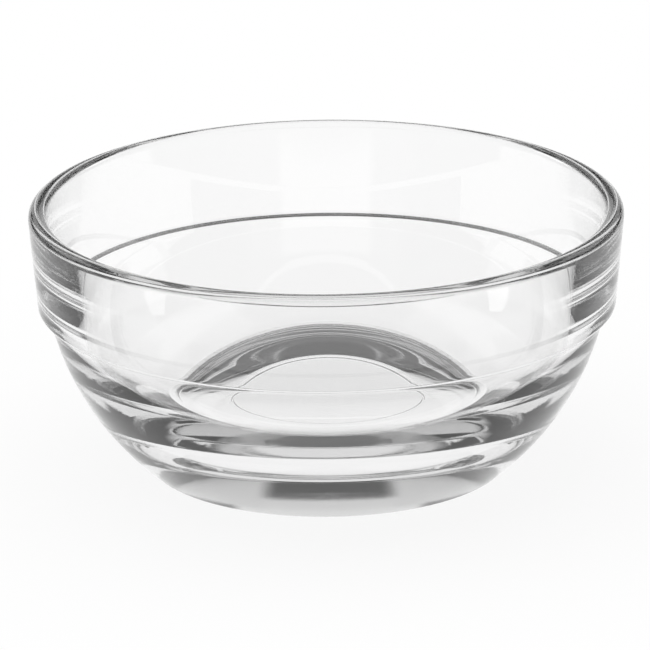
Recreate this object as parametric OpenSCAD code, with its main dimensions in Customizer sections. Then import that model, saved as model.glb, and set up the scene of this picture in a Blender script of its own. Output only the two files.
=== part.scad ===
// Stackable prep bowl of pressed clear glass.
// One piece, turned about the upright axis: a foot ring with a hollowed underside,
// a rounded body, a stacking ledge, a slightly flared collar and a rounded rim.
// Sizes are in millimetres. The bowl stands on z = 0 and its axis is z.

/* [Overall] */
// Outside diameter at the rim
rim_d = 105; // [96:0.5:114]
// Height from the table to the top of the rim
height = 47; // [44:0.5:54]

/* [Rim and collar] */
// Radius of the rounded rim, half the glass thickness there
rim_round = 1.65; // [1.4:0.05:1.9]
// Height of the ledge under the collar, above the table
ledge_z = 29.2; // [27.5:0.1:31]
// How much the collar's radius shrinks from the rim down to the ledge
collar_taper = 1.4; // [0.8:0.1:2]
// Width of the ledge, from the collar's lower edge in to the body
ledge_w = 1.7; // [1.5:0.1:2.4]
// Radius of the collar's lower edge
edge_round = 0.7; // [0.3:0.05:0.8]
// Radius of the inner corner under the ledge, where a bowl below bears
seat_round = 0.4; // [0.3:0.05:0.5]

/* [Body] */
// Diameter of the circle on which the body meets the table
foot_d = 64; // [60:0.5:68]
// Radius of the foot's outer edge
foot_round = 0.6; // [0.3:0.05:1]

/* [Hollow] */
// Lean of the hollow's wall from upright, in degrees
wall_lean = 11.5; // [9:0.5:13]
// Radius of the curve from the wall down to the floor
corner_r = 24; // [20:0.5:27]
// Height of the hollow's flat floor above the table
floor_z = 10.2; // [8:0.1:12]

/* [Underside] */
// Width of the ring that the bowl stands on
ring_w = 1.5; // [1.2:0.1:3]
// Width of the sloping part of the underside, from the ring in to the flat middle
slope_w = 11.9; // [8:0.1:14]
// Depth of the hollowed underside
recess_h = 2; // [0.6:0.1:3]

/* [Hidden] */
$fn = 180;

// Small overlap by which each round crosses the part that it blends into
lap = 0.002;

rim_r = rim_d/2;
foot_r = foot_d/2;
ring_r = foot_r - ring_w;
recess_r = ring_r - slope_w;

// Middle of the rim's round, and the collar's lower corner
rim_cr = rim_r - rim_round;
rim_cz = height - rim_round;
collar_r = rim_r - collar_taper;
collar_lean = atan2(collar_taper, rim_cz - ledge_z);

// Middle and radius of the body's arc, through the foot circle and the ledge's inner circle
body_top_r = collar_r - ledge_w;
body_z = (pow(body_top_r, 2) + pow(ledge_z, 2) - pow(foot_r, 2))/(2*ledge_z);
body_r = sqrt(pow(foot_r, 2) + pow(body_z, 2));

// Middle of the round on the collar's lower edge
edge_cr = collar_r + edge_round*tan(collar_lean) - edge_round/cos(collar_lean);
edge_cz = ledge_z + edge_round;

// Middle of the round in the corner under the ledge, and where it leaves the body
seat_cz = ledge_z - seat_round;
seat_cr = sqrt(pow(body_r + seat_round, 2) - pow(body_z - seat_cz, 2));
seat_tr = seat_cr*body_r/(body_r + seat_round);
seat_tz = body_z - (body_z - seat_cz)*body_r/(body_r + seat_round);

// Middle of the round on the foot's outer edge, and where it leaves the body
foot_cr = sqrt(pow(body_r - foot_round, 2) - pow(body_z - foot_round, 2));
foot_tr = foot_cr*body_r/(body_r - foot_round);
foot_tz = body_z - (body_z - foot_round)*body_r/(body_r - foot_round);

// Where the hollow's wall leaves the rim's round
wall_tr = rim_cr - (rim_round - lap)*cos(wall_lean);
wall_tz = rim_cz + (rim_round - lap)*sin(wall_lean);

// Height and radius at which the wall passes into the corner's curve, and the middle of that curve
corner_tz = floor_z + corner_r*(1 - sin(wall_lean));
corner_tr = wall_tr - (wall_tz - corner_tz)*tan(wall_lean);
corner_cr = corner_tr - corner_r*cos(wall_lean);
corner_cz = floor_z + corner_r;

// Radius of the wall's cone a little above the rim
mouth_z = height + 1;
mouth_r = wall_tr + (mouth_z - wall_tz)*tan(wall_lean);

// The round body, with its foot edge rounded off
module body_section() {
    intersection() {
        translate([0, body_z]) circle(r = body_r);
        translate([0, foot_tz]) square([2*body_r, ledge_z - foot_tz]);
    }
    polygon([[0, 0], [foot_cr, 0], [foot_tr - lap, foot_tz], [0, foot_tz]]);
    intersection() {
        translate([foot_cr, foot_round]) circle(r = foot_round + lap);
        translate([0, 0]) square([2*body_r, ledge_z]);
    }
}

// The corner under the ledge, filled out to its round
module seat_section() {
    difference() {
        polygon([[0, seat_tz], [seat_tr, seat_tz], [seat_cr, ledge_z], [0, ledge_z]]);
        translate([seat_cr, seat_cz]) circle(r = seat_round + lap);
    }
}

// The flared collar, up to the middle of the rim's round
module collar_section() {
    side = [cos(collar_lean), -sin(collar_lean)];
    inward = [-cos(wall_lean), sin(wall_lean)];
    edge = [edge_cr, edge_cz] + (edge_round - lap)*side;
    top = [rim_cr, rim_cz] + (rim_round - lap)*side;
    inside = [rim_cr, rim_cz] + 3*rim_round*inward;
    polygon([[0, ledge_z], [edge_cr, ledge_z], edge, top, [rim_cr, rim_cz], inside, [0, inside[1]]]);
    translate([edge_cr, edge_cz]) circle(r = edge_round);
}

// The space inside, open at the top
module hollow_section() {
    polygon([[0, corner_tz], [corner_tr, corner_tz], [mouth_r, mouth_z], [0, mouth_z]]);
    intersection() {
        translate([corner_cr, corner_cz]) circle(r = corner_r + lap);
        translate([0, floor_z]) square([rim_r, corner_r]);
    }
    translate([0, floor_z]) square([corner_cr, mouth_z - floor_z]);
}

// The space under the floor, inside the ring that the bowl stands on
module underside_section() {
    polygon([[0, -1], [ring_r, -1], [ring_r, 0], [recess_r, recess_h], [0, recess_h]]);
}

module bowl() {
    color([0.93, 0.95, 0.95, 0.35])
    rotate_extrude() {
        difference() {
            union() {
                body_section();
                seat_section();
                collar_section();
            }
            hollow_section();
            underside_section();
        }
        translate([rim_cr, rim_cz]) circle(r = rim_round);
    }
}

bowl();
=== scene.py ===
import math

import bmesh
import bpy
from mathutils import Matrix, Vector


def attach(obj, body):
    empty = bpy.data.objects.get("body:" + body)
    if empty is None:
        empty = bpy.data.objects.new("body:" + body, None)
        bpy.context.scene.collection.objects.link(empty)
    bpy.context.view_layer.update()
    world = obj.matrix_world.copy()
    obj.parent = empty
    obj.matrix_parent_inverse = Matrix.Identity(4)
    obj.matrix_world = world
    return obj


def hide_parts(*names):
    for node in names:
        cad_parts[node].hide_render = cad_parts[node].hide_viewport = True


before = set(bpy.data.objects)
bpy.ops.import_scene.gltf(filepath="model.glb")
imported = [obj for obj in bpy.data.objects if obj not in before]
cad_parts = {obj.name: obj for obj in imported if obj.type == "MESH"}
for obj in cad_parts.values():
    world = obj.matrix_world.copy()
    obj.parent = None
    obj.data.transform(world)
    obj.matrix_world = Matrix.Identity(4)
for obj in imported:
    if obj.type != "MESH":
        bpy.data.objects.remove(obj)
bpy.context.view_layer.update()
scene = bpy.context.scene


# Bowl. One piece of clear pressed glass, turned about the upright axis: foot ring, round body,
# stacking ledge, flared collar and rounded rim outside, a leaning wall, a round corner and a flat
# floor inside. It is pressed in one stroke and then fire polished. Lengths are in millimetres.
RIM_R = 52.5
HEIGHT = 47.0
RIM_ROUND = 1.65
LEDGE_Z = 29.2
COLLAR_TAPER = 1.4
LEDGE_W = 1.7
EDGE_ROUND = 0.7
SEAT_ROUND = 0.4
FOOT_R = 32.0
FOOT_ROUND = 0.6
WALL_LEAN = 11.5
CORNER_R = 24.0
FLOOR_Z = 10.2
RING_W = 1.5
SLOPE_W = 11.9
RECESS_H = 2.0
SOFT = 0.35
PRESS_W = 0.7
INNER_PRESS = 0.1
OUTER_PRESS = 0.03
MM = 0.001


def arc(middle, radius, start, stop, count):
    """Points on an arc from start to stop, in degrees, ends included."""
    turns = [math.radians(start + (stop - start) * i / count) for i in range(count + 1)]
    return [(middle[0] + radius * math.cos(t), middle[1] + radius * math.sin(t)) for t in turns]


def soft_corner(before, corner, after, reach, count=6):
    """A small rounded corner in place of a sharp one, as pressed glass has."""
    a, b, c = Vector(before), Vector(corner), Vector(after)
    start = b + (a - b).normalized() * reach
    end = b + (c - b).normalized() * reach
    steps = [i / count for i in range(count + 1)]
    return [tuple(start * (1 - t) ** 2 + b * 2 * t * (1 - t) + end * t * t) for t in steps]


def press_line(start, depth, count=10):
    """A fine groove that the press leaves in the underside, from the radius start outwards."""
    points = []
    for i in range(count + 1):
        r = start + PRESS_W * i / count
        under = RECESS_H * min(1, (ring_r - r) / SLOPE_W)
        points.append((r, under + depth * (1 - math.cos(math.tau * i / count)) / 2))
    return points


rim_c = (RIM_R - RIM_ROUND, HEIGHT - RIM_ROUND)
collar_r = RIM_R - COLLAR_TAPER
lean = math.atan2(COLLAR_TAPER, rim_c[1] - LEDGE_Z)
collar_lean = math.degrees(lean)
body_top_r = collar_r - LEDGE_W
body_z = (body_top_r**2 + LEDGE_Z**2 - FOOT_R**2) / (2 * LEDGE_Z)
body_r = math.hypot(FOOT_R, body_z)
edge_r = collar_r + EDGE_ROUND * math.tan(lean) - EDGE_ROUND / math.cos(lean)
edge_c = (edge_r, LEDGE_Z + EDGE_ROUND)
seat_z = LEDGE_Z - SEAT_ROUND
seat_c = (math.sqrt((body_r + SEAT_ROUND) ** 2 - (body_z - seat_z) ** 2), seat_z)
seat_turn = math.degrees(math.atan2(seat_z - body_z, seat_c[0]))
foot_c = (math.sqrt((body_r - FOOT_ROUND) ** 2 - (body_z - FOOT_ROUND) ** 2), FOOT_ROUND)
foot_turn = math.degrees(math.atan2(FOOT_ROUND - body_z, foot_c[0]))
sin_wall, cos_wall = math.sin(math.radians(WALL_LEAN)), math.cos(math.radians(WALL_LEAN))
wall_t = (rim_c[0] - RIM_ROUND * cos_wall, rim_c[1] + RIM_ROUND * sin_wall)
corner_tz = FLOOR_Z + CORNER_R * (1 - sin_wall)
corner_tr = wall_t[0] - (wall_t[1] - corner_tz) * sin_wall / cos_wall
corner_c = (corner_tr - CORNER_R * cos_wall, FLOOR_Z + CORNER_R)
ring_r = FOOT_R - RING_W
recess_r = ring_r - SLOPE_W

# The section runs from the middle of the underside round the outside to the middle of the hollow.
section = [(0.0, RECESS_H)]
section += press_line(recess_r - 2 * PRESS_W, INNER_PRESS)[:-1]
section += soft_corner((0, RECESS_H), (recess_r, RECESS_H), (ring_r, 0), 2 * SOFT)
section += press_line(ring_r - 2 * PRESS_W, OUTER_PRESS)
section += soft_corner((recess_r, RECESS_H), (ring_r, 0), (foot_c[0], 0), SOFT)
section += arc(foot_c, FOOT_ROUND, -90, foot_turn, 8)
section += arc((0, body_z), body_r, foot_turn, seat_turn, 48)[1:]
section += arc(seat_c, SEAT_ROUND, 180 + seat_turn, 90, 8)[1:]
section += arc(edge_c, EDGE_ROUND, -90, -collar_lean, 12)
section += arc(rim_c, RIM_ROUND, -collar_lean, 180 - WALL_LEAN, 40)
section += arc(corner_c, CORNER_R, -WALL_LEAN, -90, 56)
section.append((0.0, FLOOR_Z))

# The sweep turns the section over, so it is drawn upside down.
outline = bpy.data.meshes.new("bowl_outline")
edges = [(i, i + 1) for i in range(len(section) - 1)]
outline.from_pydata([(r * MM, -z * MM, 0) for r, z in section], edges, [])
lathe = bpy.data.objects.new("bowl_lathe", outline)
scene.collection.objects.link(lathe)


class Net:
    """A socket in a shader tree, for use in sums, with a method that adds any other node."""

    def __init__(self, tree, socket=None):
        self.tree, self.socket = tree, socket

    def node(self, kind, settings=None, sockets=None):
        """Add a node: its settings first, then a value or a link for each socket."""
        made = self.tree.nodes.new(kind)
        for name, value in (settings or {}).items():
            setattr(made, name, value)
        for name, value in (sockets or {}).items():
            if isinstance(value, Net):
                self.tree.links.new(value.socket, made.inputs[name])
            else:
                made.inputs[name].default_value = value
        return made

    def take(self, kind, settings=None, sockets=None, output=0):
        """Add a node and keep one of its outputs."""
        return Net(self.tree, self.node(kind, settings, sockets).outputs[output])

    def split(self, kind, sockets=None):
        """Add a node and keep all of its outputs, by name."""
        return {s.name: Net(self.tree, s) for s in self.node(kind, None, sockets).outputs}

    def math(self, operation, *values):
        return self.take("ShaderNodeMath", {"operation": operation}, dict(enumerate(values)))

    def step(self, low, high, start=0.0, stop=1.0):
        """A smooth step from start to stop as this value goes from low to high."""
        ends = {"From Min": low, "From Max": high, "To Min": start, "To Max": stop}
        settings = {"interpolation_type": "SMOOTHSTEP"}
        return self.take("ShaderNodeMapRange", settings, {"Value": self, **ends})

    def fall(self, low, high):
        """A smooth step down from one to zero as this value goes from low to high."""
        return self.step(low, high, 1.0, 0.0)

    def __add__(self, other):
        return self.math("ADD", self, other)

    def __sub__(self, other):
        return self.math("SUBTRACT", self, other)

    def __rsub__(self, other):
        return self.math("SUBTRACT", other, self)

    def __mul__(self, other):
        return self.math("MULTIPLY", self, other)

    def __truediv__(self, other):
        return self.math("DIVIDE", self, other)

    def __rtruediv__(self, other):
        return self.math("DIVIDE", other, self)

    __radd__, __rmul__ = __add__, __mul__


# Heights of the marks on the glass, and the places they are in, are in metres.
WAVE = 1.5e-5
WAVE_SCALE = 55.0
DRAWN = 2.5e-6
DRAWN_SCALE = 75.0
DRAWN_SQUEEZE = 6.0
DRAWN_FROM = (0.001, 0.004)
DRAWN_TO = (0.013, 0.02)
GRAIN = 2e-5
GRAIN_SCALE = 900.0
FOOT_TOP = (0.0006, 0.0012)
FOOT_INSIDE = (0.0285, 0.0305)
FOOT_MATT = 0.12
GLASS_IOR = 1.52
TINT = (0.5, 0.5, 0.5, 1)
TINT_DENSITY = 7.0

glass = bpy.data.materials.new("clear_glass")
glass.use_nodes = True
shader = glass.node_tree.nodes["Principled BSDF"]
shader.inputs["Base Color"].default_value = (1, 1, 1, 1)
shader.inputs["IOR"].default_value = GLASS_IOR
shader.inputs["Transmission Weight"].default_value = 1.0
net = Net(glass.node_tree)
noise = "ShaderNodeTexNoise"
place = net.take("ShaderNodeTexCoord", output="Object")
x, y, z = net.split("ShaderNodeSeparateXYZ", {0: place}).values()
out = x * x + y * y + 1e-9
out = out.math("SQRT", out)
wave = net.take(noise, None, {"Vector": place, "Scale": WAVE_SCALE, "Detail": 1.0})
around = net.take("ShaderNodeCombineXYZ", None, {0: x / out, 1: y / out, 2: z * DRAWN_SQUEEZE})
drawn = net.take(noise, None, {"Vector": around, "Scale": DRAWN_SCALE, "Detail": 2.0})
drawn = drawn * z.step(*DRAWN_FROM) * z.fall(*DRAWN_TO)
foot = z.fall(*FOOT_TOP) * out.step(*FOOT_INSIDE)
grain = net.take(noise, None, {"Vector": place, "Scale": GRAIN_SCALE, "Detail": 2.0})
height = wave * WAVE + drawn * DRAWN + grain * foot * GRAIN
bump = net.take("ShaderNodeBump", None, {"Height": height, "Distance": 1.0, "Strength": 1.0})
net.tree.links.new(bump.socket, shader.inputs["Normal"])
net.tree.links.new((foot * FOOT_MATT).socket, shader.inputs["Roughness"])
absorb = {"Color": TINT, "Density": TINT_DENSITY}
tint = net.take("ShaderNodeVolumeAbsorption", None, absorb)
net.tree.links.new(tint.socket, net.tree.nodes["Material Output"].inputs["Volume"])

TURNS = 400
HUB = 1.0
WELD = 1e-6

tree = bpy.data.node_groups.new("turned_bowl", "GeometryNodeTree")
tree.interface.new_socket("Geometry", in_out="INPUT", socket_type="NodeSocketGeometry")
turns_in = tree.interface.new_socket("Turns", in_out="INPUT", socket_type="NodeSocketInt")
hub_in = tree.interface.new_socket("Hub", in_out="INPUT", socket_type="NodeSocketFloat")
glass_in = tree.interface.new_socket("Glass", in_out="INPUT", socket_type="NodeSocketMaterial")
tree.interface.new_socket("Geometry", in_out="OUTPUT", socket_type="NodeSocketGeometry")
given, result = tree.nodes.new("NodeGroupInput"), tree.nodes.new("NodeGroupOutput")
to_curve = tree.nodes.new("GeometryNodeMeshToCurve")
minus = tree.nodes.new("ShaderNodeMath")
minus.operation = "MULTIPLY"
minus.inputs[1].default_value = -1
back = tree.nodes.new("ShaderNodeCombineXYZ")
shift = tree.nodes.new("GeometryNodeTransform")
ring = tree.nodes.new("GeometryNodeCurvePrimitiveCircle")
sweep = tree.nodes.new("GeometryNodeCurveToMesh")
weld = tree.nodes.new("GeometryNodeMergeByDistance")
weld.inputs["Distance"].default_value = WELD
smooth = tree.nodes.new("GeometryNodeSetShadeSmooth")
real = tree.nodes.new("GeometryNodeRealizeInstances")
paint = tree.nodes.new("GeometryNodeSetMaterial")
for start, leaving, end, entering in (
    (given, "Geometry", to_curve, "Mesh"),
    (given, "Hub", minus, 0),
    (minus, 0, back, "X"),
    (back, 0, shift, "Translation"),
    (to_curve, "Curve", shift, "Geometry"),
    (given, "Turns", ring, "Resolution"),
    (given, "Hub", ring, "Radius"),
    (ring, "Curve", sweep, "Curve"),
    (shift, "Geometry", sweep, "Profile Curve"),
    (sweep, "Mesh", weld, "Geometry"),
    (weld, "Geometry", smooth, "Geometry"),
    (smooth, "Geometry", real, "Geometry"),
    (real, "Geometry", paint, "Geometry"),
    (given, "Glass", paint, "Material"),
    (paint, "Geometry", result, "Geometry"),
):
    tree.links.new(start.outputs[leaving], end.inputs[entering])

modifier = lathe.modifiers.new("Turned", "NODES")
modifier.node_group = tree
modifier[turns_in.identifier] = TURNS
modifier[hub_in.identifier] = HUB * MM
modifier[glass_in.identifier] = glass
finished = lathe.evaluated_get(bpy.context.evaluated_depsgraph_get())
turned = bpy.data.meshes.new_from_object(finished)
bpy.data.objects.remove(lathe)
bpy.data.meshes.remove(outline)

work = bmesh.new()
work.from_mesh(turned)
bmesh.ops.remove_doubles(work, verts=work.verts, dist=WELD)
bmesh.ops.recalc_face_normals(work, faces=work.faces)
work.to_mesh(turned)
work.free()
turned.name = "glass_bowl"
bowl = bpy.data.objects.new("glass_bowl", turned)
scene.collection.objects.link(bowl)
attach(bowl, "root")
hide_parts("bowl")


# Floor. A plain round table top of white laminate under the bowl. The camera and the glass see it
# white, and close to the bowl a part of it is matt and keeps the shadow. Lengths are in metres.
FLOOR_REACH = 3.0
FLOOR_SIDES = 128
FLOOR_DROP = 0.0002
FLOOR_COLOUR = (0.9, 0.9, 0.9, 1)
SHADE = 0.08
SHADE_REACH = (0.045, 0.13)

floor_mesh = bpy.data.meshes.new("floor")
work = bmesh.new()
bmesh.ops.create_circle(work, cap_ends=True, segments=FLOOR_SIDES, radius=FLOOR_REACH)
work.to_mesh(floor_mesh)
work.free()
floor = bpy.data.objects.new("floor", floor_mesh)
floor.location.z = -FLOOR_DROP
scene.collection.objects.link(floor)
white = bpy.data.materials.new("white_floor")
white.use_nodes = True
white.node_tree.nodes.clear()
net = Net(white.node_tree)
place = net.take("ShaderNodeTexCoord", output="Object")
far = net.take("ShaderNodeVectorMath", {"operation": "LENGTH"}, {0: place}, "Value")
rays = net.split("ShaderNodeLightPath")
shade = far.step(*SHADE_REACH, SHADE, 0.0)
seen = rays["Is Camera Ray"] * (1 - shade)
seen = seen + (rays["Is Glossy Ray"] + rays["Is Transmission Ray"])
matt = net.take("ShaderNodeBsdfDiffuse", None, {"Color": FLOOR_COLOUR})
plain = net.take("ShaderNodeEmission", None, {"Color": (1, 1, 1, 1), "Strength": 1.0})
both = net.take("ShaderNodeMixShader", None, {0: seen, 1: matt, 2: plain})
net.node("ShaderNodeOutputMaterial", None, {"Surface": both})
floor_mesh.materials.append(white)


# Light. A soft box overhead in a dim room, with low white panels on all four sides of the table and
# a tall grey card at each side of the far one. The dim room between and over them draws the dark
# edges in clear glass. A panel's edges are cosines of its bearing, and its top is a sine.
ROOM = 0.05
OVERHEAD = 0.12
OVERHEAD_EDGE = (0.9, 0.96)
WHITE_PANEL = 0.95
PANEL_EDGE = (0.93, 0.955)
PANEL_TOP = (0.12, 0.15)
SIDE_EDGE = (0.19, 0.26)
FAR_TOP = (0.28, 0.31)
FAR_DIM = 0.75
FAR_FADE = (0.1, 0.25)
NEAR_WALL = 0.15
NEAR_WALL_EDGE = (0.76, 0.86)
NEAR_WALL_TOP = (0.5, 0.56)
CARD_LOW = 0.72
CARD_HIGH = 0.6
CARD_FADE = (0.4, 0.6)
CARD_OUTER = (0.72, 0.8)
CARD_INNER = (0.965, 0.985)
CARD_FOOT = (0.17, 0.2)
CARD_TOP = (0.92, 0.95)

world = bpy.data.worlds.new("studio")
scene.world = world
world.use_nodes = True
world.node_tree.nodes.clear()
net = Net(world.node_tree)
way = net.take("ShaderNodeTexCoord", output="Generated")
x, y, z = net.split("ShaderNodeSeparateXYZ", {0: way}).values()
flat = x * x + y * y + 1e-6
ahead = y / flat.math("SQRT", flat)
near = 0 - ahead
near_wall = near.step(*NEAR_WALL_EDGE) * z.fall(*NEAR_WALL_TOP)
near_panel = near.step(*PANEL_EDGE) * z.fall(*PANEL_TOP)
side_panels = ahead.math("ABSOLUTE", ahead).fall(*SIDE_EDGE) * z.fall(*PANEL_TOP)
far_panel = ahead.step(*PANEL_EDGE) * z.fall(*FAR_TOP)
cards = ahead.step(*CARD_OUTER) * ahead.fall(*CARD_INNER)
cards = cards * z.step(*CARD_FOOT) * z.fall(*CARD_TOP)
level = z.step(*OVERHEAD_EDGE, ROOM, OVERHEAD)
for panel, bright in (
    (near_wall, NEAR_WALL),
    (near_panel, WHITE_PANEL),
    (side_panels, WHITE_PANEL),
    (far_panel, z.step(*FAR_FADE, WHITE_PANEL, FAR_DIM)),
    (cards, z.step(*CARD_FADE, CARD_LOW, CARD_HIGH)),
):
    level = level + panel * (bright - level)
camera_ray = net.split("ShaderNodeLightPath")["Is Camera Ray"]
level = camera_ray + (1 - camera_ray) * level
backing = net.take("ShaderNodeBackground", None, {"Color": (1, 1, 1, 1), "Strength": level})
net.node("ShaderNodeOutputWorld", None, {"Surface": backing})

for name, spot, size, power, mirrored in (
    ("soft_box", (-0.1, 0.1, 1.0), 1.2, 10.0, False),
    ("left_box", (-0.7, 0.5, 0.5), 0.34, 0.7, True),
    ("right_box", (0.7, 0.5, 0.5), 0.34, 0.5, True),
):
    lamp = bpy.data.lights.new(name, "AREA")
    lamp.shape = "SQUARE"
    lamp.size = size
    lamp.energy = power
    box = bpy.data.objects.new(name, lamp)
    box.location = spot
    box.rotation_euler = (-Vector(spot)).to_track_quat("-Z", "Y").to_euler()
    box.visible_camera = False
    box.visible_transmission = False
    box.visible_glossy = mirrored
    scene.collection.objects.link(box)


# Camera. A long lens that looks down on the bowl at a low angle, as in the photograph. Its distance
# and aim are in rim radii, and its lens gives the rim's size in the picture of 650 pixels.
RISE = math.radians(18.55)
ROLL = math.radians(0.59)
AWAY = 24
AIM = (-0.0075, 0, 0.4667)
RIM_PIXELS = 296.4
PICTURE = 650
SENSOR = 36
CLIP = 50

right = Vector((1, 0, 0))
up = Vector((0, math.sin(RISE), math.cos(RISE)))
toward = Vector((0, -math.cos(RISE), math.sin(RISE)))
camera = bpy.data.objects.new("camera", bpy.data.cameras.new("camera"))
camera.data.sensor_width = SENSOR
camera.data.lens = RIM_PIXELS * AWAY / PICTURE * SENSOR
camera.data.clip_end = CLIP
turn = Matrix((right, up, toward)).transposed() @ Matrix.Rotation(-ROLL, 3, "Z")
stand = (Vector(AIM) + AWAY * toward) * RIM_R * MM
camera.matrix_world = Matrix.Translation(stand) @ turn.to_4x4()
scene.collection.objects.link(camera)
scene.camera = camera

# Light crosses clear glass many times before it leaves, so the paths are long.
PASSES = 24
scene.view_settings.view_transform = "Standard"
scene.cycles.max_bounces = PASSES
scene.cycles.transmission_bounces = PASSES
scene.cycles.glossy_bounces = PASSES
